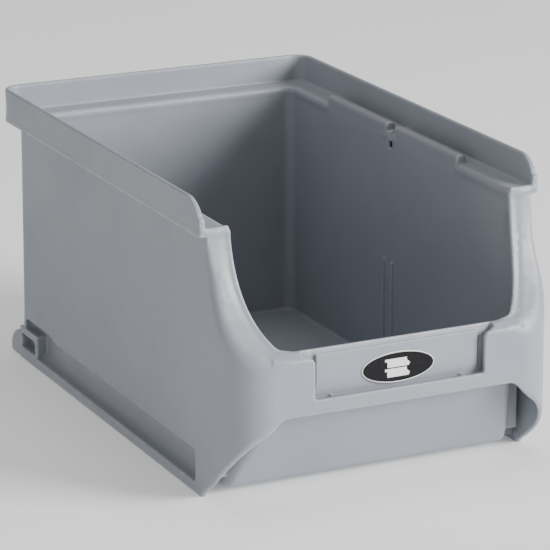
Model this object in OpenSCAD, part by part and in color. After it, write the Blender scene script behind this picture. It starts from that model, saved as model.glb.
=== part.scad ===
// Open-fronted stacking bin: one injection moulding with double side walls, a
// stacking rim, a scoop front with a label pocket, and an oval badge stuck on the
// label panel.
// +Z is up, the scoop faces -Y, and the origin is at the centre of the base.

/* [Overall size] */
// Width over the stacking rim
bin_w = 150; // [120:1:220]
// Depth from the front band to the back of the rim
bin_d = 235; // [200:1:320]
// Height from the ground to the top of the rim
bin_h = 122; // [110:1:180]
// Wall thickness of the moulding
wall = 2; // [1.6:0.1:2.4]

/* [Stacking rim] */
// Height of the upright rim band
rim_h = 14.4; // [12:0.2:20]
// Drop from the top of the rim to the ledge inside it
ledge_drop = 11.7; // [9:0.1:12]
// Radius of the rim's two back corners
rim_corner_r = 8.5; // [6:0.5:12]
// Radius of the rounded front ends of the rim
rim_end_r = 12; // [8:0.5:12]
// How far the rim's ends stand behind the front of the bin
rim_setback = 25; // [20:1:40]

/* [Compartment] */
// Inside width of the compartment
cell_w = 124.4; // [100:0.2:190]
// Height of the compartment's floor
floor_z = 4; // [3:0.5:8]
// Radius between the floor and the walls inside
floor_r = 2; // [1:0.5:6]
// Radius with which the side walls close in towards the front
nose_r = 39; // [30:1:45]

/* [Scoop and label pocket] */
// Radius of the scoop in side view
scoop_r = 71; // [60:1:80]
// Height of the front band's lower edge
band_z = 37.9; // [30:0.1:42]
// Width of the label window
label_w = 74.8; // [60:0.2:78]
// Height of the label window's lower edge
label_z = 44.1; // [43:0.1:48]

/* [Base] */
// Height of the foot lip along each side
lip_h = 4.4; // [3:0.1:6]
// Height of the top of the recess above the lip
recess_top = 17.5; // [14:0.5:24]

/* [Badge] */
// Width of the oval badge
badge_w = 32; // [20:0.5:40]
// Height of the oval badge
badge_h = 12.6; // [8:0.2:14]

/* [Hidden] */
$fn = 96;
eps = 0.01;
far = 400;

// outer skin
front_y = -bin_d / 2;
skin_x = bin_w / 2 - 2.4;
skin_top_x = bin_w / 2 - 3.2;
skin_back_y = bin_d / 2 - 10.3;
skin_front_r = 18;
skin_back_r = 8;

// compartment
cell_x = cell_w / 2;
cell_back_y = skin_back_y - wall;
cell_back_r = 5;
label_gap = 1;
panel_y = front_y + wall + label_gap;
cell_front_y = panel_y + wall;
floor_under_z = floor_z - wall;
toe_y = front_y + 26.9;
toe_slope = 29;
cell_foot_r = 3;
// flat facets that narrow the compartment's lower front, fading out upwards
facet_turn = 29.3;
facet_y = front_y + 26.5;
facet_z0 = 38;
facet_z1 = 60;
facet_fade = 4;
band_top_z = 63.6;

// rim and ledge
ledge_z = bin_h - ledge_drop;
rim_bottom_z = bin_h - rim_h;
rim_y = front_y + rim_setback;
rim_in_x = bin_w / 2 - wall;
stop_h = 0.6;
bead_w = 4.4;
bead_h = 3.6;
bead_y0 = -48.2;
bead_y1 = 69;

// divider slot half way along the sides
slot_y = 10;
slot_rib_pitch = 7.6;
slot_rib_t = 1.3;
slot_rib_top = 53.3;
slot_notch = 7.4;
slot_window = [3.4, 3];
slot_window_z = 103.6;

// scoop
scoop_y = rim_y - scoop_r;
scoop_z = ledge_z + 5;

// label pocket
pocket_x = 42;
pocket_nub_x = 28.8;
label_corner_r = 1.2;
label_flare_r = 2.6;
frame_top_z = 61.2;
shoulder_z = 61.6;
lip_t = 0.9;
groove_d = 1.3;
groove_w = 1.5;
groove_h = 0.5;
mouth_x = 62;
mouth_r = 20;

// cheeks, the skin's front corners below the band
cheek_x0 = 51.5;
cheek_x1 = 62;
cheek_slope = 0.9;
cheek_tip_y = front_y + 29.5;
bow_y = front_y + 75.6;
bow_z = 71.2;
bow_r = 84.2;

// stiffening webs in the hollow side walls
web_t = 1.6;
web_w = 6;
web_y = front_y + 26;
web_z0 = 8;
web_gap = 2.4;

// divider seat
lug_r = 1.8;
lug_h = 4.5;
seat_r = 2;
seat_z = floor_z + 7;

// base
lip_x = skin_x;
recess_x = lip_x - 5.2;
recess_y0 = front_y + 36;
recess_y1 = 86.4;
recess_back_top = recess_top + 2.2;
recess_rise_y = 67;
recess_back_y = skin_back_y - 7;
bracket_y1 = 106.4;
bracket_z = 14.6;
hook_z = 12;
hook_r = 10.5;
bracket_window = [15.5, 6.4];
bracket_window_y = 89;
bracket_window_z = 5.2;

// badge
film_t = 0.35;
face_t = 0.25;
emblem_t = 0.15;
emblem_pitch = 4;
badge_edge = 0.5;
badge_z = 51.7;

// ---- shared outlines -------------------------------------------------------

// Rectangle from [x0, y0] to [x1, y1] with its own radius at the front and the back
module rounded_box_2d(x, y0, y1, r0, r1) {
    for (s = [-1, 1]) {
        translate([s * (x - r0), y0 + r0]) circle(r0);
        translate([s * (x - r1), y1 - r1]) circle(r1);
    }
    translate([-x, y0 + r0]) square([2 * x, y1 - y0 - r0 - r1]);
    translate([-x + r0, y0]) square([2 * (x - r0), r0 + eps]);
    translate([-x + r1, y1 - r1 - eps]) square([2 * (x - r1), r1 + eps]);
}

// Plan of the outer skin, moved inwards by d
module skin_2d(d = 0) {
    rounded_box_2d(skin_x - d, front_y + d, skin_back_y - d, skin_front_r - d, skin_back_r - d);
}

// Plan of the compartment, moved outwards by d: its sides close in on a wide radius
module cell_2d(d = 0) {
    nose_x = cell_x - nose_r;
    nose_y = cell_front_y + nose_r * sin(45);
    r = cell_back_r + d;
    translate([-cell_x - d, nose_y]) square([2 * (cell_x + d), cell_back_y - cell_back_r - nose_y]);
    for (s = [-1, 1]) translate([s * (cell_x - cell_back_r), cell_back_y - cell_back_r]) circle(r);
    translate([-cell_x + cell_back_r, cell_back_y - 2 * r]) square([2 * (cell_x - cell_back_r), 2 * r + d]);
    intersection() {
        union() {
            for (s = [-1, 1]) translate([s * nose_x, nose_y]) circle(nose_r + d);
            translate([-nose_x, cell_front_y - d]) square([2 * nose_x, nose_r]);
        }
        translate([-far / 2, cell_front_y - d]) square([far, nose_y - cell_front_y + d + eps]);
    }
}

// Side view of the compartment, moved outwards by d, with the raked toe at the front
module cell_side_2d(d, foot_r) {
    z0 = floor_z - d;
    y0 = cell_front_y - d;
    toe = toe_y + (wall - d) / cos(toe_slope) - (z0 - floor_under_z) * tan(toe_slope);
    kink_z = z0 + (toe - y0) / tan(toe_slope);
    difference() {
        polygon([[cell_back_y + d, z0], [toe, z0], [y0, kink_z], [y0, far], [cell_back_y + d, far]]);
        corner_2d([cell_back_y + d, z0], foot_r, [1, -1]);
    }
}

// What a round of radius r takes off the corner at p; dir points outwards
module corner_2d(p, r, dir) {
    difference() {
        translate([p[0] - (dir[0] > 0 ? r : 1), p[1] - (dir[1] > 0 ? r : 1)]) square(r + 1);
        translate([p[0] - dir[0] * r, p[1] - dir[1] * r]) circle(r);
    }
}

// Front view of the compartment, moved outwards by d
module cell_front_2d(d, foot_r) {
    foot_x = cell_x + d;
    z0 = floor_z - d;
    difference() {
        translate([-foot_x, z0]) square([2 * foot_x, far]);
        for (s = [-1, 1]) corner_2d([s * foot_x, z0], foot_r, [s, -1]);
    }
}

// Symmetric outline of half width x0 up to z0, tapering to x1 at z1, and x1 above
module drafted_2d(x0, x1, z0, z1) {
    polygon([
        [-x0, -far], [x0, -far], [x0, z0], [x1, z1],
        [x1, far], [-x1, far], [-x1, z1], [-x0, z0]
    ]);
}

// Lays a side-view outline (Y right, Z up) across the whole width
module across(w = far) {
    rotate([90, 0, 90]) linear_extrude(w, center = true) children();
}

// Lays a front-view outline (X right, Z up) along Y from y0 to y1
module along(y0, y1) {
    translate([0, y1, 0]) rotate([90, 0, 0]) linear_extrude(y1 - y0) children();
}

module both_sides() {
    children();
    mirror([1, 0, 0]) children();
}

// ---- regions of the moulding -----------------------------------------------

module cell_solid(d, foot_r, top) {
    intersection() {
        translate([0, 0, floor_z - d]) linear_extrude(top - floor_z + d) cell_2d(d);
        across() cell_side_2d(d, foot_r);
        along(-far / 2, far / 2) cell_front_2d(d, foot_r);
        nose_facets(d);
    }
}

// Plan of the space between the two facets, moved outwards by d
module facet_2d(d) {
    wide = cell_x + 9;
    meet_x = cell_x + d / cos(facet_turn);
    run = facet_y - front_y + 9;
    narrow = meet_x - run * tan(facet_turn);
    back = facet_y + (wide - meet_x) / tan(facet_turn);
    polygon([
        [-narrow, facet_y - run], [narrow, facet_y - run], [wide, back],
        [wide, far], [-wide, far], [-wide, back]
    ]);
}

module nose_facets(d) {
    translate([0, 0, -1]) linear_extrude(facet_z0 + 1 + eps) facet_2d(d);
    hull() {
        translate([0, 0, facet_z0]) linear_extrude(eps) facet_2d(d);
        translate([0, 0, facet_z1]) linear_extrude(eps) facet_2d(d + facet_fade);
    }
    translate([0, 0, facet_z1]) linear_extrude(far) facet_2d(d + facet_fade);
}

// Everything in front of and above the scoop's surface
module scoop_cut(grow = 0) {
    across() {
        translate([scoop_y, scoop_z]) circle(scoop_r - grow, $fn = 180);
        translate([-far, scoop_z]) square([far + scoop_y + scoop_r - grow, far]);
    }
}

// Front corners of the skin below the band: a diagonal in front view, a bow in side view
module cheek_cut() {
    knee_z = band_z - (cheek_x1 - cheek_x0) / cheek_slope;
    along(front_y - 1, front_y + skin_front_r)
        polygon([
            [-cheek_x0, band_z], [cheek_x0, band_z], [cheek_x1, knee_z], [cheek_x1, -1],
            [-cheek_x1, -1], [-cheek_x1, knee_z]
        ]);
    across() difference() {
        translate([front_y - 1, -1]) square([bow_y - front_y, band_z + 1]);
        translate([bow_y, bow_z]) circle(bow_r, $fn = 240);
    }
}

module skin_shell() {
    difference() {
        intersection() {
            linear_extrude(ledge_z) difference() {
                skin_2d();
                skin_2d(wall + skin_x - skin_top_x);
            }
            along(-far / 2, far / 2) drafted_2d(skin_x, skin_top_x, lip_h, ledge_z);
        }
        cheek_cut();
    }
}

// Broad face that joins the inner and outer walls along the scoop
module scoop_face() {
    intersection() {
        translate([0, 0, band_z]) linear_extrude(ledge_z - band_z) difference() {
            skin_2d();
            cell_2d(0);
        }
        difference() {
            scoop_cut(-wall);
            scoop_cut();
        }
        along(front_y, 0) drafted_2d(skin_x, skin_top_x, lip_h, ledge_z);
    }
}

module rim_2d(d) {
    difference() {
        rounded_box_2d(bin_w / 2 - d, rim_y - 30, bin_d / 2 - d, 1, rim_corner_r - d);
        translate([-far / 2, rim_y - far]) square([far, far]);
    }
}

module rim_band() {
    intersection() {
        translate([0, 0, rim_bottom_z]) linear_extrude(rim_h) difference() {
            rim_2d(0);
            rim_2d(wall);
        }
        across() difference() {
            translate([rim_y, rim_bottom_z]) square([bin_d, rim_h]);
            corner_2d([rim_y, bin_h], rim_end_r, [-1, 1]);
        }
    }
}

module ledge() {
    translate([0, 0, rim_bottom_z]) linear_extrude(ledge_z - rim_bottom_z) difference() {
        rim_2d(0);
        cell_2d(0);
    }
    both_sides() translate([cell_x, rim_y, ledge_z - eps])
        cube([rim_in_x - cell_x + eps, wall, stop_h]);
}

// Raised bead on the ledge, with a gap for a divider
module ledge_bead() {
    both_sides() difference() {
        along(bead_y0, bead_y1) {
            translate([cell_x, ledge_z - eps]) square([bead_w, bead_h - bead_w / 2]);
            translate([cell_x + bead_w / 2, ledge_z + bead_h - bead_w / 2]) circle(bead_w / 2, $fn = 32);
        }
        translate([cell_x - 1, slot_y - slot_notch / 2, ledge_z]) cube([bead_w + 2, slot_notch, bead_h + 1]);
    }
}

module divider_guides() {
    both_sides() for (s = [-1, 1])
        translate([cell_x - slot_rib_t, slot_y + s * slot_rib_pitch / 2 - slot_rib_t / 2, floor_z])
            cube([slot_rib_t + eps, slot_rib_t, slot_rib_top - floor_z]);
}

// Lug in the bead's gap and rounded seat on the floor, between the two guides
module divider_seat() {
    both_sides() {
        translate([cell_x + 0.4, slot_y, ledge_z - lug_h]) cylinder(r = lug_r, h = lug_h + 1, $fn = 32);
        translate([cell_x - seat_r, slot_y, floor_z - eps]) {
            cylinder(r = seat_r, h = seat_z - floor_z, $fn = 32);
            translate([0, 0, seat_z - floor_z]) sphere(seat_r, $fn = 32);
        }
    }
}

module side_webs() {
    both_sides() translate([lip_x - wall - web_gap - web_w, web_y, web_z0])
        cube([web_w, web_t, rim_bottom_z + 1 - web_z0]);
}

module divider_windows() {
    both_sides() translate([cell_x - 1, slot_y - slot_window[0] / 2, slot_window_z])
        cube([wall + 2, slot_window[0], slot_window[1]]);
}

// Window, side slots and open top of the label pocket
module label_cut() {
    flare_x = label_w / 2 + label_flare_r;
    along(front_y - 1, front_y + wall + eps) difference() {
        union() {
            rounded_box_2d(label_w / 2, label_z, bin_h, label_corner_r, label_corner_r);
            translate([-flare_x, frame_top_z - label_flare_r]) square([2 * flare_x, bin_h]);
        }
        for (s = [-1, 1]) translate([s * flare_x, frame_top_z - label_flare_r]) circle(label_flare_r, $fn = 48);
    }
    translate([-pocket_x, front_y + wall, band_z + 4]) cube([2 * pocket_x, label_gap, bin_h]);
    along(panel_y - eps, panel_y + groove_d) difference() {
        translate([-pocket_x, band_z + 4]) square([2 * pocket_x, bin_h]);
        translate([-label_w / 2 + groove_w, label_z + groove_h]) square([label_w - 2 * groove_w, bin_h]);
    }
}

// Level top of the front wall, its step behind the label, and the curves into the scoop
module band_top_cut() {
    along(front_y - 1, cell_front_y) rounded_box_2d(mouth_x, band_top_z, far, mouth_r, mouth_r);
    translate([1 - pocket_x, front_y - 1, shoulder_z])
        cube([2 * pocket_x - 2, cell_front_y - lip_t - front_y + 1, far]);
}

module pocket_ties() {
    both_sides() {
        translate([pocket_x, front_y + 1, band_z]) cube([wall, wall + label_gap, 60.5 - band_z]);
        translate([pocket_nub_x - 0.8, front_y + 1, label_z - 2]) cube([1.6, wall + label_gap, 1.9]);
    }
}

// Channel along the foot of each side, closed at its front end and open at the back
module foot_channel() {
    both_sides() {
        intersection() {
            translate([recess_x - wall, recess_y0 - wall, lip_h - wall])
                cube([lip_x - recess_x + wall / 2, bin_d, recess_back_top - lip_h + 2 * wall]);
            linear_extrude(bin_h) skin_2d(eps);
        }
        translate([lip_x - wall, cheek_tip_y, 0]) cube([wall, bracket_y1 - cheek_tip_y, lip_h]);
    }
}

module foot_channel_cut() {
    both_sides() translate([recess_x, 0, lip_h]) {
        translate([0, recess_y0, 0]) cube([far, far, bracket_z - wall - lip_h]);
        translate([0, recess_y0, 0]) cube([far, recess_back_y - recess_y0, recess_top - lip_h]);
        translate([0, recess_rise_y, 0]) cube([far, recess_back_y - recess_rise_y, recess_back_top - lip_h]);
    }
}

// Hooked bracket at the back of each foot, with a window in its side
module foot_bracket() {
    both_sides() difference() {
        union() {
            translate([recess_x - wall, recess_y1, 0])
                cube([lip_x - recess_x + wall, bracket_y1 - recess_y1, bracket_z]);
            translate([lip_x - wall / 2, 0, 0]) across(wall) difference() {
                translate([recess_y1, 0]) square([bin_d / 2 - recess_y1, hook_z]);
                corner_2d([bin_d / 2, hook_z], hook_r, [1, 1]);
            }
        }
        translate([recess_x, bracket_window_y, bracket_window_z])
            cube([far, bracket_window[0], bracket_window[1]]);
        translate([recess_x, recess_y1 + wall, -1])
            cube([lip_x - recess_x - wall, bracket_y1 - recess_y1 - 2 * wall, lip_h]);
    }
}

// ---- nodes -----------------------------------------------------------------

module bin_body() {
    color([0.56, 0.58, 0.61]) {
        difference() {
            union() {
                difference() {
                    union() {
                        skin_shell();
                        cell_solid(wall, cell_foot_r, ledge_z);
                        scoop_face();
                        foot_channel();
                        ledge();
                    }
                    cell_solid(0, floor_r, far);
                    scoop_cut();
                    label_cut();
                    foot_channel_cut();
                    band_top_cut();
                }
                rim_band();
                ledge_bead();
                divider_guides();
                divider_seat();
                side_webs();
                pocket_ties();
                foot_bracket();
            }
            divider_windows();
        }
    }
}

// Oval plate standing on the label panel, its back face d in front of the panel
module oval_plate(w, h, d, t) {
    steps = 72;
    outline = [for (i = [0 : steps - 1]) [w / 2 * cos(i * 360 / steps), h / 2 * sin(i * 360 / steps)]];
    translate([0, panel_y - d, badge_z]) rotate([90, 0, 0]) linear_extrude(t) polygon(outline);
}

module badge_film() {
    color([0.9, 0.9, 0.9]) oval_plate(badge_w, badge_h, 0, film_t);
}

module badge_face() {
    color([0.06, 0.06, 0.06])
        oval_plate(badge_w - 2 * badge_edge, badge_h - 2 * badge_edge, film_t, face_t);
}

// Plain sign for stacking: side views of two bins, one on the other
module badge_emblem() {
    sign = [[-6, 1.6], [-6, 0.5], [-5, 0.5], [-5, -1.9], [4.4, -1.9], [5, -0.7], [3.6, 0.5], [3.6, 1.6]];
    color([0.9, 0.9, 0.9]) for (level = [-1, 1])
        translate([0, panel_y - film_t - face_t, badge_z + level * emblem_pitch / 2])
            rotate([90, 0, 0]) linear_extrude(emblem_t) polygon(sign);
}

bin_body();
badge_film();
badge_face();
badge_emblem();
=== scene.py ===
"""Looks of the stacking bin: the moulding as one smooth skin with its real radii, the badge, lights and camera.

The moulding is worked out as a signed distance, in millimetres, on a grid over its right half. Walls, ledge,
pocket and feet are joined and cut there with rounded edges. The grid's zero surface, mirrored, is the mesh.
A function that takes x, y and z works on whole arrays of places, and its result is below zero inside the solid.
"""

import math

import bpy
import numpy as np
import openvdb as vdb
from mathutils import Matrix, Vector


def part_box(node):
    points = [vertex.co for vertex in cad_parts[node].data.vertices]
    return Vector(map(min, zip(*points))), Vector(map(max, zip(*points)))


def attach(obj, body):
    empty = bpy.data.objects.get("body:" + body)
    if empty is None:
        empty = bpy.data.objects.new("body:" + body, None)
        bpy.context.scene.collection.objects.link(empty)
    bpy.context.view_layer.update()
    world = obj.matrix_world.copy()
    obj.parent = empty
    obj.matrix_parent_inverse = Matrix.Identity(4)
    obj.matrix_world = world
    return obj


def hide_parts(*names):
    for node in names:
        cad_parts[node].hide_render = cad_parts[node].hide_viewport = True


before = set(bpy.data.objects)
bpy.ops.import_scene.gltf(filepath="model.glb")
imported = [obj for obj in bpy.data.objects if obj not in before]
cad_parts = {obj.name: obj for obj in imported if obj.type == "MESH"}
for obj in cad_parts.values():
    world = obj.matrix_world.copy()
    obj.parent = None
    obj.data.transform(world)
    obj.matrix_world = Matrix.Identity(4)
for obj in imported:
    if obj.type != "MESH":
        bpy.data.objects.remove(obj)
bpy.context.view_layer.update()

MM = 0.001

# ---- sizes in millimetres, from the frame and the moulding's own rules --------------------------------------

body_lo, body_hi = (Vector(corner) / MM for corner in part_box("bin_body"))

WALL = 2.0
HALF_W = body_hi.x
FRONT_Y = body_lo.y
BACK_Y = body_hi.y
TOP_Z = body_hi.z

# ledge and stacking rim
LEDGE_Z = TOP_Z - 11.7
LEDGE_EDGE_R = 2.5
RIM_BOTTOM_Z = TOP_Z - 14.4
RIM_Y = FRONT_Y + 25
RIM_CORNER_R = 8.5
RIM_END_R = 12.0
RIM_HEEL_R = 1.6
RIM_SWELL = 1.0
STOP_H = 0.6

# outer skin
SKIN_FOOT_X = HALF_W - 2.4
SKIN_TOP_X = HALF_W - 3.2
SKIN_BACK_Y = BACK_Y - 10.3
SKIN_FRONT_R = 18.0
SKIN_BACK_R = 8.0

# compartment, with flat facets either side of the nose and a raked toe
CELL_X = 62.2
CELL_BACK_Y = SKIN_BACK_Y - WALL
CELL_BACK_R = 5.0
CELL_NOSE_R = 39.0
FLOOR_Z = 4.0
FLOOR_R = 1.2
PANEL_Y = FRONT_Y + WALL + 1
CELL_FRONT_Y = PANEL_Y + WALL
TOE_Y = FRONT_Y + 28.1
TOE_SLOPE = math.radians(29)
TOE_R = 1.5
FACET_Y = FRONT_Y + 26.5
FACET_TURN = math.radians(29.3)
FACET_FADE_Z = (38, 60)
FACET_FADE = 4.0

# scoop, and the edge round it, which is widest low on the cheeks
SCOOP_R = 71.0
SCOOP_Y = RIM_Y - SCOOP_R
SCOOP_Z = LEDGE_Z + 5
SCOOP_EDGE_R = 0.8
SCOOP_EDGE_GAIN = 3.0
SCOOP_EDGE_X = (46, 58)
SCOOP_EDGE_Z = (88, 108)
MOUTH_INNER_R = 1.9
MOUTH_OUTER_R = 0.3
MOUTH_X = 62
MOUTH_R = 20

# cheeks, the skin's front corners below the band
CHEEK_X0 = 51.5
CHEEK_X1 = 62
CHEEK_SLOPE = 0.9
CHEEK_TIP_Y = FRONT_Y + 29.5
BOW_Y = FRONT_Y + 75.6
BOW_Z = 71.2
BOW_R = 84.2

# band across the front, with the label pocket in it
BAND_Z = 37.9
BAND_TOP_Z = 63.6
FRAME_TOP_Z = 61.2
SHOULDER_Z = 61.6
LIP_T = 0.9
LABEL_X = 37.4
LABEL_Z = 44.1
LABEL_CORNER_R = 1.2
LABEL_FLARE_W = 3.0
LABEL_FLARE_R = 2.6
POCKET_X = 42.0
POCKET_Z = BAND_Z + 4
POCKET_END_Z = 60.5
GROOVE_W = 1.5
GROOVE_H = 0.5
GROOVE_D = 1.3
NUB_X = 28.8
NUB_W = 1.6
NUB_Z = (42, 44)
FILLER_X = (POCKET_X, 55)
FILLER_Z = (54, 70)

# bead on the ledge, and the divider slot
SLOT_Y = 10.0
BEAD_Y0 = -48.2
BEAD_Y1 = 69.0
BEAD_GAP = 7.4
BEAD_W = 4.4
BEAD_H = 3.6
BEAD_EDGE_R = 1.6
LUG_R = 1.8
SLOT_WINDOW_W = 3.4
SLOT_WINDOW_X = (58, 66)
SLOT_WINDOW_Z = (103.6, 106.6)
RIB_PITCH = 7.6
RIB_W = 1.3
RIB_D = 1.1
RIB_TOP_Z = 53.3
SEAT_R = 2.0
SEAT_Z = FLOOR_Z + 7

# webs in the hollow sides
WEB_X1 = 68.2
WEB_Y = FRONT_Y + 26
WEB_T = 1.6
WEB_Z0 = 8

# feet: lip, recess above it, bracket with a window, and hook
LIP_H = 4.4
RECESS_X = SKIN_FOOT_X - 5.2
RECESS_Y = FRONT_Y + 36
RECESS_TOP = 17.5
RECESS_RISE = 2.2
RECESS_BACK_Y = SKIN_BACK_Y - 7
BRACKET_Y = 86.4
BRACKET_BACK_Y = 106.4
BRACKET_Z = 14.6
BRACKET_WINDOW_Y = (89, 104.5)
BRACKET_WINDOW_Z = (5.2, 11.6)
HOOK_H = 12
HOOK_R = 10.5
HOOK_FOOT_R = 2.5

# grid
FINE_STEP = 0.5
MARGIN = 2.0
ADAPTIVITY = 0.1


# ---- signed distances ----------------------------------------------------------------------------------------

def fuse(a, b, r):
    """Joins two solids, with a fillet of radius r where they meet."""
    return np.maximum(r, np.minimum(a, b)) - np.hypot(np.maximum(r - a, 0), np.maximum(r - b, 0))


def meet(a, b, r):
    """What two solids share, with its edge rounded to radius r."""
    return np.minimum(-r, np.maximum(a, b)) + np.hypot(np.maximum(r + a, 0), np.maximum(r + b, 0))


def carve(a, b, r):
    """Solid a without solid b, with the new edge rounded to radius r."""
    return meet(a, -b, r)


def slab(u, low, high):
    """The space between two planes across u."""
    return np.maximum(low - u, u - high)


def wall_at(u, middle, thickness):
    """The space between two planes across u, on either side of a middle."""
    return slab(u, middle - thickness / 2, middle + thickness / 2)


def box(x, y, z, span_x, span_y, span_z):
    return np.maximum(slab(x, *span_x), np.maximum(slab(y, *span_y), slab(z, *span_z)))


def rounded_plan(x, y, half_x, y0, y1, r0, r1):
    """A symmetric rectangle with its own corner radius at the front and at the back."""
    middle = (y0 + y1) / 2
    r = np.where(y < middle, r0, r1)
    qx = x - half_x + r
    qy = np.abs(y - middle) - (y1 - y0) / 2 + r
    return np.hypot(np.maximum(qx, 0), np.maximum(qy, 0)) + np.minimum(np.maximum(qx, qy), 0) - r


def smooth_step(u, low, high):
    t = np.clip((u - low) / (high - low), 0, 1)
    return t * t * (3 - 2 * t)


class Grid:
    """A block of signed distances over the half with X >= 0, and windows on it for small features."""

    def __init__(self, step):
        self.step = step
        self.low = np.array([0.0, FRONT_Y - MARGIN, -MARGIN])
        high = np.array([HALF_W + MARGIN, BACK_Y + MARGIN, TOP_Z + MARGIN])
        counts = np.ceil((high - self.low) / step).astype(int) + 1
        self.axes = [(self.low[k] + step * np.arange(counts[k])).astype(np.float32) for k in range(3)]
        self.d = walls(*self.coordinates()).astype(np.float32)

    def coordinates(self, window=(slice(None),) * 3):
        x, y, z = (axis[part] for axis, part in zip(self.axes, window))
        return x[:, None, None], y[None, :, None], z[None, None, :]

    def window(self, low, high):
        parts = []
        for axis, a, b in zip(self.axes, low, high):
            start = max(int(np.searchsorted(axis, a)) - 1, 0)
            parts.append(slice(start, int(np.searchsorted(axis, b)) + 1))
        return tuple(parts)

    def change(self, low, high, feature, join, r):
        """Joins or cuts a feature inside the box from low to high, with radius r."""
        part = self.window(low, high)
        self.d[part] = join(self.d[part], feature(*self.coordinates(part)), np.float32(r))


# ---- walls ---------------------------------------------------------------------------------------------------

def skin_plan(x, y, z):
    """The outer skin: a drafted box with wide front corners."""
    inset = (SKIN_FOOT_X - SKIN_TOP_X) * np.clip((z - LIP_H) / (LEDGE_Z - LIP_H), 0, 1)
    return rounded_plan(x + inset, y, SKIN_FOOT_X, FRONT_Y, SKIN_BACK_Y, SKIN_FRONT_R, SKIN_BACK_R)


def cell(x, y, z):
    """The compartment: sides that close in towards the front, with flat facets low down, and a raked toe."""
    # the arc of each side reaches the front wall at 45 degrees
    nose_y = CELL_FRONT_Y - CELL_NOSE_R * (1 - math.sin(math.radians(45)))
    sides = rounded_plan(x, y, CELL_X, nose_y, CELL_BACK_Y, CELL_NOSE_R, CELL_BACK_R)
    facet = (x - CELL_X) * math.cos(FACET_TURN) - (y - FACET_Y) * math.sin(FACET_TURN)
    sides = meet(sides, facet - FACET_FADE * smooth_step(z, *FACET_FADE_Z), 1.0)
    toe = (TOE_Y - y) * math.cos(TOE_SLOPE) - (z - FLOOR_Z) * math.sin(TOE_SLOPE)
    lower = meet(FLOOR_Z - z, toe, TOE_R)
    return meet(meet(sides, CELL_FRONT_Y - y, 1.0), lower, FLOOR_R)


def scoop(y, z):
    """What the scoop takes away: a cylinder along X, and everything in front of its upright tangent."""
    round_part = np.hypot(y - SCOOP_Y, z - SCOOP_Z) - SCOOP_R
    return np.where(z < SCOOP_Z, round_part, y - RIM_Y)


def cheek(x, y, z):
    """Where the skin may stand: above the band's edge, or outside a diagonal and behind a bow-shaped curve."""
    outside_diagonal = np.minimum(CHEEK_X0 + CHEEK_SLOPE * (BAND_Z - z), CHEEK_X1) - x
    behind_bow = np.hypot(np.minimum(y - BOW_Y, 0), np.minimum(z - BOW_Z, 0)) - BOW_R
    return fuse(BAND_Z - z, meet(outside_diagonal, behind_bow, 1.0), 2.0)


def walls(x, y, z):
    """Skin, compartment, scoop face and ledge."""
    inside = cell(x, y, z)
    mouth = scoop(y, z)

    # the solid outside is rounded first and hollowed second, so that the skin keeps its thickness
    edge_r = SCOOP_EDGE_R + SCOOP_EDGE_GAIN * smooth_step(x, *SCOOP_EDGE_X) * (1 - smooth_step(z, *SCOOP_EDGE_Z))
    outside = meet(skin_plan(x, y, z), -mouth, edge_r)
    skin = np.maximum(np.maximum(outside, -(outside + WALL)), -inside)
    skin = meet(meet(skin, cheek(x, y, z), 0.6), -z, 0.5)

    lining = np.maximum(inside - WALL, -inside)
    filler = np.maximum(box(x, y, z, FILLER_X, (FRONT_Y + 1, PANEL_Y + 1), FILLER_Z), -inside)
    solid = fuse(skin, np.minimum(lining, filler), 0.8)

    deck = np.maximum(np.maximum(rim_plan(x, y), -inside), RIM_BOTTOM_Z - z)
    solid = meet(fuse(solid, deck, 0.8), z - LEDGE_Z, LEDGE_EDGE_R)
    mouth_r = MOUTH_INNER_R - (MOUTH_INNER_R - MOUTH_OUTER_R) * smooth_step(inside, 2, 6)
    return meet(solid, -mouth, mouth_r)


# ---- front wall and label pocket -----------------------------------------------------------------------------

def band_top(x, y, z):
    """Cuts the front wall level between the flanges, rising into them in a wide curve, and steps its front down."""
    level = meet(BAND_TOP_Z - z, x - MOUTH_X, MOUTH_R)
    level = np.maximum(level, y - CELL_FRONT_Y - 0.2)
    step = np.maximum(meet(SHOULDER_Z - z, x - POCKET_X + 1, 1.0), y - CELL_FRONT_Y + LIP_T)
    return np.minimum(level, step)


def label_window(x, y, z):
    """The pocket's window, open at the top, where its frame ends in round corners."""
    window = meet(x - LABEL_X, LABEL_Z - z, LABEL_CORNER_R)
    above = np.maximum(FRAME_TOP_Z - z, x - LABEL_X - LABEL_FLARE_W)
    return np.maximum(fuse(window, above, LABEL_FLARE_R), y - FRONT_Y - WALL)


def label_slot(x, y, z):
    """The gap behind the frame. It deepens along the bottom and at both ends of the panel."""
    depth = meet(x - POCKET_X, POCKET_Z - z, 0.5)
    groove = fuse(LABEL_X - GROOVE_W - x, z - LABEL_Z - GROOVE_H, 0.5)
    deep = meet(groove, y - PANEL_Y - GROOVE_D, 1.2)
    return np.maximum(depth, np.maximum(np.minimum(y - PANEL_Y, deep), FRONT_Y + WALL - y))


def pocket_end(x, y, z):
    return box(x, y, z, (POCKET_X, POCKET_X + WALL), (FRONT_Y + 1, PANEL_Y + 1), (BAND_Z, POCKET_END_Z))


def label_nub(x, y, z):
    return box(x, y, z, (NUB_X - NUB_W / 2, NUB_X + NUB_W / 2), (FRONT_Y + 1, PANEL_Y + 1), NUB_Z)


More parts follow.
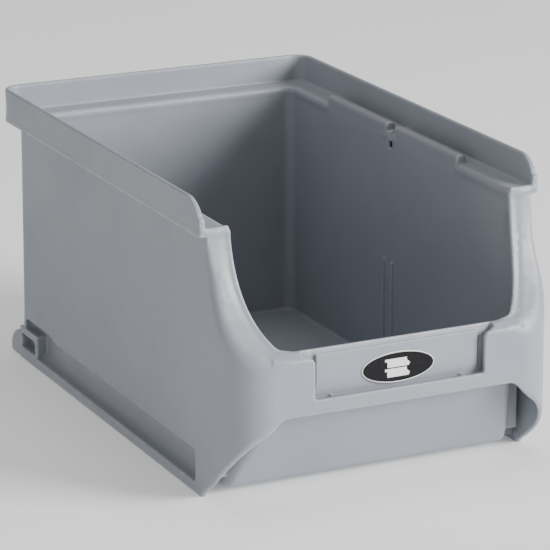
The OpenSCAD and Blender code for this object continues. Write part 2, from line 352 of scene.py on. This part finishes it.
def add_front(grid):
    grid.change((0, FRONT_Y - 2, BAND_TOP_Z - 3), (MOUTH_X + 4, FRONT_Y + 8, TOP_Z), band_top, carve, 0.5)
    grid.change((0, FRONT_Y - 2, LABEL_Z - 6), (POCKET_X + 8, FRONT_Y + 4, TOP_Z), label_window, carve, 0.4)
    grid.change((0, FRONT_Y - 1, BAND_Z), (POCKET_X + 8, FRONT_Y + 5, BAND_TOP_Z + 4), label_slot, carve, 0.1)
    grid.change((POCKET_X - 2, FRONT_Y - 1, BAND_Z - 2), (POCKET_X + 4, PANEL_Y + 2, POCKET_END_Z + 3.5),
                pocket_end, fuse, 0.3)
    grid.change((NUB_X - 3, FRONT_Y - 1, LABEL_Z - 4), (NUB_X + 3, PANEL_Y + 2, LABEL_Z + 2), label_nub, fuse, 0.2)


# ---- rim, ledge stop and bead --------------------------------------------------------------------------------

def rim_plan(x, y):
    return rounded_plan(x, y, HALF_W, RIM_Y - 60, BACK_Y, 1.0, RIM_CORNER_R)


def rim_profile(y, z):
    """Side view of the rim, with its round front ends."""
    middle = (RIM_BOTTOM_Z + TOP_Z) / 2
    r = np.where(z > middle, RIM_END_R, RIM_HEEL_R)
    qy = RIM_Y - y + r
    qz = np.where(z > middle, z - TOP_Z, RIM_BOTTOM_Z - z) + r
    return np.hypot(np.maximum(qy, 0), np.maximum(qz, 0)) + np.minimum(np.maximum(qy, qz), 0) - r


def rim_band(x, y, z):
    """The upright band, which thickens inwards from its top down to the ledge."""
    plan = rim_plan(x, y)
    thickness = WALL + RIM_SWELL * np.clip((TOP_Z - z) / (TOP_Z - LEDGE_Z), 0, 1)
    return meet(np.maximum(plan, -(plan + thickness)), rim_profile(y, z), 0.5)


def ledge_stop(x, y, z):
    """The low stop across the front end of the ledge."""
    inner_and_top = meet(CELL_X - x, z - LEDGE_Z - STOP_H, 0.5)
    rest = np.maximum(slab(y, RIM_Y, RIM_Y + WALL), np.maximum(x - HALF_W + 1, RIM_BOTTOM_Z - z))
    return meet(inner_and_top, rest, 0.4)


def bead(x, y, z):
    """Bead on the inner edge of the ledge, flush with the compartment's wall, with a gap for a divider."""
    block = meet(np.maximum(x - CELL_X - BEAD_W, -cell(x, y, z)), z - LEDGE_Z - BEAD_H, BEAD_EDGE_R)
    block = np.maximum(block, LEDGE_Z - 4 - z)
    runs = np.minimum(slab(y, BEAD_Y0, SLOT_Y - BEAD_GAP / 2), slab(y, SLOT_Y + BEAD_GAP / 2, BEAD_Y1))
    return meet(block, runs, 0.5)


def add_rim(grid):
    front_y, bottom_z = RIM_Y - 4, RIM_BOTTOM_Z - 4
    side_x, top_z = HALF_W + MARGIN, TOP_Z + MARGIN
    grid.change((0, front_y, bottom_z), (side_x, BACK_Y + 9, top_z), rim_band, fuse, 0.7)
    grid.change((CELL_X - 3, front_y, bottom_z), (side_x, RIM_Y + 8, top_z), ledge_stop, fuse, 0.6)
    grid.change((CELL_X - 4, BEAD_Y0 - 4, LEDGE_Z - 7), (CELL_X + 9, BEAD_Y1 + 4, TOP_Z), bead, fuse, 0.6)


# ---- divider slot --------------------------------------------------------------------------------------------

def slot_lug(x, y, z):
    """The round lug between the two runs of the bead."""
    return meet(np.hypot(x - CELL_X - 0.5, y - SLOT_Y) - LUG_R, slab(z, LEDGE_Z - 4.5, LEDGE_Z + 1), 0.9)


def slot_window(x, y, z):
    return np.maximum(wall_at(y, SLOT_Y, SLOT_WINDOW_W), np.maximum(slab(z, *SLOT_WINDOW_Z), slab(x, *SLOT_WINDOW_X)))


def slot_seat(x, y, z):
    """The round post on the floor that the divider's foot stands against."""
    above = np.maximum(z - SEAT_Z, 0)
    return np.sqrt((x - CELL_X + SEAT_R) ** 2 + (y - SLOT_Y) ** 2 + above ** 2) - SEAT_R


def slot_rib(x, y, z, rib_y):
    """One of the two upright guides on the compartment's wall."""
    section = meet(wall_at(y, rib_y, RIB_W), CELL_X - RIB_D - x, 0.5)
    return meet(section, np.maximum(x - CELL_X - 1, slab(z, FLOOR_Z, RIB_TOP_Z)), 0.5)


def add_divider_slot(grid):
    grid.change((CELL_X - 5, SLOT_Y - 5, LEDGE_Z - 9), (CELL_X + 6, SLOT_Y + 5, LEDGE_Z + 5), slot_lug, fuse, 0.4)
    grid.change((CELL_X - 4, SLOT_Y - 5, LEDGE_Z - 10), (CELL_X + 6, SLOT_Y + 5, LEDGE_Z), slot_window, carve, 0.3)
    for side in (-1, 1):
        rib_y = SLOT_Y + side * RIB_PITCH / 2
        grid.change((CELL_X - 5, rib_y - 4, FLOOR_Z - 2), (CELL_X + 5, rib_y + 4, RIB_TOP_Z + 7),
                    lambda x, y, z: slot_rib(x, y, z, rib_y), fuse, 0.5)
    grid.change((CELL_X - 8, SLOT_Y - 6, FLOOR_Z - 2), (CELL_X + 4, SLOT_Y + 6, SEAT_Z + 13), slot_seat, fuse, 1.0)


# ---- webs and feet -------------------------------------------------------------------------------------------

def side_web(x, y, z):
    return box(x, y, z, (CELL_X, WEB_X1), (WEB_Y, WEB_Y + WEB_T), (WEB_Z0, RIM_BOTTOM_Z + 1))


def recess_rise(y):
    """How far the recess's ceiling stands above its front height: it steps up before the bracket."""
    return RECESS_RISE * smooth_step(y, BRACKET_Y - 26, BRACKET_Y - 12)


def foot_channel(x, y, z):
    """The material round the recess, inside the skin, and the lip below it."""
    height = slab(z, LIP_H - WALL, RECESS_TOP + recess_rise(y) + WALL)
    channel = np.maximum(slab(x, RECESS_X - WALL, SKIN_FOOT_X - 1), np.maximum(RECESS_Y - WALL - y, height))
    channel = np.maximum(channel, skin_plan(x, y, z) + 0.2)
    lip = box(x, y, z, (SKIN_FOOT_X - WALL, SKIN_FOOT_X), (CHEEK_TIP_Y, BRACKET_BACK_Y), (0, LIP_H))
    return np.minimum(channel, lip)


def foot_recess(x, y, z):
    """The recess along the foot, with a soft lower edge. Under the bracket's top it runs out through the back."""
    hollow = meet(RECESS_X - x, LIP_H - z, 3.5)
    hollow = meet(hollow, z - RECESS_TOP - recess_rise(y), 1.2)
    under_bracket_top = np.maximum(hollow, z - BRACKET_Z + WALL)
    hollow = np.minimum(meet(hollow, y - RECESS_BACK_Y, 3.0), under_bracket_top)
    return meet(hollow, RECESS_Y - y, 1.2)


def foot_bracket(x, y, z):
    """The block behind the recess, open below, and the hooked plate on its outside."""
    block = np.maximum(slab(x, RECESS_X - WALL, SKIN_FOOT_X), slab(z, 0, BRACKET_Z))
    block = meet(slab(y, BRACKET_Y, BRACKET_BACK_Y), block, 0.5)
    pocket = np.maximum(slab(y, BRACKET_Y + WALL, BRACKET_BACK_Y - WALL), z - LIP_H + 1)
    pocket = np.maximum(slab(x, RECESS_X, SKIN_FOOT_X - WALL), pocket)
    hook = meet(meet(y - BACK_Y, z - HOOK_H, HOOK_R), -z, HOOK_FOOT_R)
    plate = meet(slab(x, SKIN_FOOT_X - WALL, SKIN_FOOT_X), np.maximum(hook, BRACKET_Y - y), 0.5)
    return fuse(carve(block, pocket, 0.2), plate, 0.3)


def bracket_window(x, y, z):
    return meet(slab(y, *BRACKET_WINDOW_Y), np.maximum(RECESS_X - x, slab(z, *BRACKET_WINDOW_Z)), 0.5)


def add_webs_and_feet(grid):
    grid.change((CELL_X - 2, WEB_Y - 2, WEB_Z0 - 4), (WEB_X1 + 4, WEB_Y + 7, RIM_BOTTOM_Z + 4), side_web, fuse, 0.5)
    low = (RECESS_X - 6, RECESS_Y - 12, -MARGIN)
    high = (HALF_W + MARGIN, BACK_Y + 9, RECESS_TOP + 10)
    grid.change(low, high, foot_channel, fuse, 0.8)
    grid.change(low, high, foot_recess, carve, 0.5)
    grid.change(low, high, foot_bracket, fuse, 0.7)
    grid.change(low, high, bracket_window, carve, 0.4)


# ---- from the grid to a mesh ---------------------------------------------------------------------------------

def build_moulding(step):
    grid = Grid(step)
    add_front(grid)
    add_rim(grid)
    add_divider_slot(grid)
    add_webs_and_feet(grid)
    return grid


def sample(block, points):
    """Trilinear value of the block at fractional grid places."""
    limit = np.array(block.shape) - 2
    base = np.clip(np.floor(points).astype(int), 0, limit)
    t = points - base
    value = 0
    for i in (0, 1):
        for j in (0, 1):
            for k in (0, 1):
                weight = np.abs(1 - i - t[:, 0]) * np.abs(1 - j - t[:, 1]) * np.abs(1 - k - t[:, 2])
                value = value + weight * block[base[:, 0] + i, base[:, 1] + j, base[:, 2] + k]
    return value


def slope_at(block, points):
    """Unit slope of the distance, which points straight out of the surface."""
    reach = 0.75
    slope = np.stack([sample(block, points + reach * e) - sample(block, points - reach * e) for e in np.eye(3)], 1)
    return slope / np.maximum(np.linalg.norm(slope, axis=1, keepdims=True), 1e-6)


def sharpness_at(block, points, step):
    """From 0 on flat places to 1 on sharp outer edges: how much further out the surroundings are on average."""
    reach_mm, flat_mm, sharp_mm = 0.8, 0.03, 0.15
    reach = reach_mm / step
    around = sum(sample(block, points + side * reach * e) for e in np.eye(3) for side in (-1, 1)) / 6
    return np.clip((around - flat_mm) / (sharp_mm - flat_mm), 0, 1)


def moulding_mesh(grid):
    """The mirrored block's zero surface, with the slope of the distance as normals and the sharpness of edges."""
    half = grid.d
    full = np.concatenate([half[:0:-1], half])
    background = 3 * grid.step
    volume = vdb.FloatGrid(background)
    volume.copyFromArray(np.clip(full, -background, background))
    volume.gridClass = vdb.GridClass.LEVEL_SET
    points, triangles, quads = volume.convertToPolygons(isovalue=0.0, adaptivity=ADAPTIVITY)
    origin = grid.low - np.array([(half.shape[0] - 1) * grid.step, 0, 0])
    places = np.clip(points * grid.step + origin, body_lo, body_hi) * MM
    faces = [tuple(int(i) for i in face[::-1]) for face in list(quads) + list(triangles)]

    mesh = bpy.data.meshes.new("bin_moulding")
    mesh.from_pydata([tuple(map(float, p)) for p in places], [], faces)
    mesh.validate()
    mesh.update()
    mesh.polygons.foreach_set("use_smooth", [True] * len(mesh.polygons))
    mesh.normals_split_custom_set_from_vertices([tuple(map(float, n)) for n in slope_at(full, points)])
    edge = mesh.attributes.new("edge", "FLOAT", "POINT")
    edge.data.foreach_set("value", sharpness_at(full, points, grid.step))
    return mesh


# ---- materials -----------------------------------------------------------------------------------------------

def new_material(name):
    material = bpy.data.materials.new(name)
    material.use_nodes = True
    nodes = material.node_tree.nodes
    return material, nodes, material.node_tree.links, nodes["Principled BSDF"]


def noise(nodes, links, vector, scale, detail):
    texture = nodes.new("ShaderNodeTexNoise")
    texture.inputs["Scale"].default_value = scale
    texture.inputs["Detail"].default_value = detail
    links.new(vector, texture.inputs["Vector"])
    return texture.outputs["Fac"]


def spread(nodes, links, value, low, high):
    """Maps a noise value onto the range from low to high."""
    ranged = nodes.new("ShaderNodeMapRange")
    ranged.inputs["From Min"].default_value = 0.3
    ranged.inputs["From Max"].default_value = 0.7
    ranged.inputs["To Min"].default_value = low
    ranged.inputs["To Max"].default_value = high
    links.new(value, ranged.inputs["Value"])
    return ranged.outputs["Result"]


def blend_colours(nodes, links, factor, first, second):
    """Mixes two colours, each a constant or a socket."""
    mix = nodes.new("ShaderNodeMix")
    mix.data_type = "RGBA"
    colours = [socket for socket in mix.inputs if socket.type == "RGBA"]
    for socket, colour in zip(colours, (first, second)):
        if isinstance(colour, tuple):
            socket.default_value = colour
        else:
            links.new(colour, socket)
    links.new(factor, mix.inputs["Factor"])
    return [socket for socket in mix.outputs if socket.type == "RGBA"][0]


def bump(nodes, links, height, distance, strength, below=None):
    node = nodes.new("ShaderNodeBump")
    node.inputs["Distance"].default_value = distance
    node.inputs["Strength"].default_value = strength
    links.new(height, node.inputs["Height"])
    if below is not None:
        links.new(below, node.inputs["Normal"])
    return node.outputs["Normal"]


def polypropylene():
    """Blue-grey moulded plastic: cloudy pigment, fine spark-eroded grain, slow waves, and sharp outer edges made
    paler by a painted highlight.
    """
    # the third colour is a painted edge highlight, a paler grey that is not a colour of the plastic
    dark, light, painted_edge_highlight = (0.262, 0.282, 0.318, 1), (0.288, 0.308, 0.342, 1), (0.46, 0.48, 0.51, 1)
    material, nodes, links, shader = new_material("grey_polypropylene")
    place = nodes.new("ShaderNodeTexCoord").outputs["Object"]
    cloud = spread(nodes, links, noise(nodes, links, place, scale=22, detail=3), 0, 1)
    pigment = blend_colours(nodes, links, cloud, dark, light)

    # painted highlight: the edge attribute, broken up by fine noise, blends sharp outer edges towards the paler grey
    edge_sharpness = nodes.new("ShaderNodeAttribute")
    edge_sharpness.attribute_name = "edge"
    edge_highlight_amount = nodes.new("ShaderNodeMath")
    edge_highlight_amount.operation = "MULTIPLY"
    links.new(edge_sharpness.outputs["Fac"], edge_highlight_amount.inputs[0])
    links.new(spread(nodes, links, noise(nodes, links, place, scale=160, detail=4), 0.1, 0.75), edge_highlight_amount.inputs[1])
    links.new(blend_colours(nodes, links, edge_highlight_amount.outputs[0], pigment, painted_edge_highlight), shader.inputs["Base Color"])

    gloss = noise(nodes, links, place, scale=90, detail=2)
    links.new(spread(nodes, links, gloss, 0.36, 0.47), shader.inputs["Roughness"])
    waves = noise(nodes, links, place, scale=35, detail=1)
    grain = noise(nodes, links, place, scale=2600, detail=2)
    waves = bump(nodes, links, waves, distance=0.0004, strength=0.05)
    links.new(bump(nodes, links, grain, distance=0.00005, strength=0.22, below=waves), shader.inputs["Normal"])
    return material


def print_material(name, base, other, roughness, coat, shine=0.5):
    """A printed badge surface with a faint mottle, under a clear coat where coat isn't 0."""
    material, nodes, links, shader = new_material(name)
    place = nodes.new("ShaderNodeTexCoord").outputs["Object"]
    mottle = spread(nodes, links, noise(nodes, links, place, scale=700, detail=3), 0, 1)
    links.new(blend_colours(nodes, links, mottle, base, other), shader.inputs["Base Color"])
    gloss = noise(nodes, links, place, scale=300, detail=2)
    links.new(spread(nodes, links, gloss, roughness * 0.8, roughness * 1.2), shader.inputs["Roughness"])
    grain = noise(nodes, links, place, scale=900, detail=2)
    links.new(bump(nodes, links, grain, distance=0.00003, strength=0.15), shader.inputs["Normal"])
    shader.inputs["Specular IOR Level"].default_value = shine
    shader.inputs["Coat Weight"].default_value = coat
    shader.inputs["Coat Roughness"].default_value = 0.06
    return material


# ---- pieces --------------------------------------------------------------------------------------------------

def add_object(name, data):
    thing = bpy.data.objects.new(name, data)
    bpy.context.scene.collection.objects.link(thing)
    return thing


def add_piece(name, mesh, material, slot, *nodes):
    piece = add_object(name, mesh)
    mesh.materials.append(material)
    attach(piece, "root")
    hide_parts(*nodes)


def dress_badge():
    """Gives each of the CAD's badge pieces its own printed look."""
    looks = {
        "badge_film": print_material("badge_white_film", (0.80, 0.81, 0.80, 1), (0.74, 0.75, 0.75, 1),
                                     roughness=0.30, coat=0.3),
        "badge_face": print_material("badge_black_face", (0.010, 0.010, 0.011, 1), (0.016, 0.016, 0.018, 1),
                                     roughness=0.25, coat=0.0, shine=0.12),
        "badge_emblem": print_material("badge_white_print", (0.82, 0.83, 0.83, 1), (0.76, 0.77, 0.77, 1),
                                       roughness=0.30, coat=0.6),
    }
    for node, material in looks.items():
        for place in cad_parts[node].material_slots:
            place.material = material


# ---- stage, in metres ----------------------------------------------------------------------------------------

def make_floor():
    size = 6.0
    mesh = bpy.data.meshes.new("floor")
    mesh.from_pydata([(-size, -size, 0), (size, -size, 0), (size, size, 0), (-size, size, 0)], [], [(0, 1, 2, 3)])
    floor = add_object("floor", mesh)
    material, nodes, links, shader = new_material("pale_floor")
    shader.inputs["Base Color"].default_value = (0.9, 0.9, 0.9, 1)
    shader.inputs["Roughness"].default_value = 0.9
    shader.inputs["Emission Color"].default_value = (1, 1, 1, 1)
    shader.inputs["Emission Strength"].default_value = 0.2
    mesh.materials.append(material)


def add_light(name, place, aim, size, power):
    data = bpy.data.lights.new(name, "AREA")
    data.shape = "RECTANGLE"
    data.size = data.size_y = size
    data.energy = power
    light = add_object(name, data)
    light.location = place
    light.rotation_euler = (Vector(aim) - Vector(place)).to_track_quat("-Z", "Y").to_euler()


def make_lights():
    add_light("key", place=(1.65, -1.75, 0.95), aim=(0, 0, 0.05), size=1.1, power=118)
    add_light("side", place=(-2.0, -0.6, 0.9), aim=(0, 0, 0.05), size=1.4, power=6)
    add_light("top", place=(0, 0.2, 1.8), aim=(0, 0, 0), size=1.0, power=7)
    world = bpy.data.worlds.new("studio")
    world.use_nodes = True
    background = world.node_tree.nodes["Background"]
    background.inputs["Color"].default_value = (1, 1, 1, 1)
    background.inputs["Strength"].default_value = 0.36
    bpy.context.scene.world = world


def make_camera():
    azimuth, elevation, distance = math.radians(-25.98), math.radians(17.01), 1.2798
    target = Vector((0.00012, -0.0047, 0.0587))
    level = math.cos(elevation)
    away = Vector((math.sin(azimuth) * level, -math.cos(azimuth) * level, math.sin(elevation)))
    data = bpy.data.cameras.new("camera")
    data.lens = 198.9
    data.sensor_width = 36.0
    camera = add_object("camera", data)
    camera.location = target + away * distance
    camera.rotation_euler = (-away).to_track_quat("-Z", "Y").to_euler()
    bpy.context.scene.camera = camera


make_camera()
make_floor()
make_lights()

moulding = moulding_mesh(build_moulding(FINE_STEP))
add_piece("bin_moulding", moulding, polypropylene(), "body", "bin_body")
dress_badge()
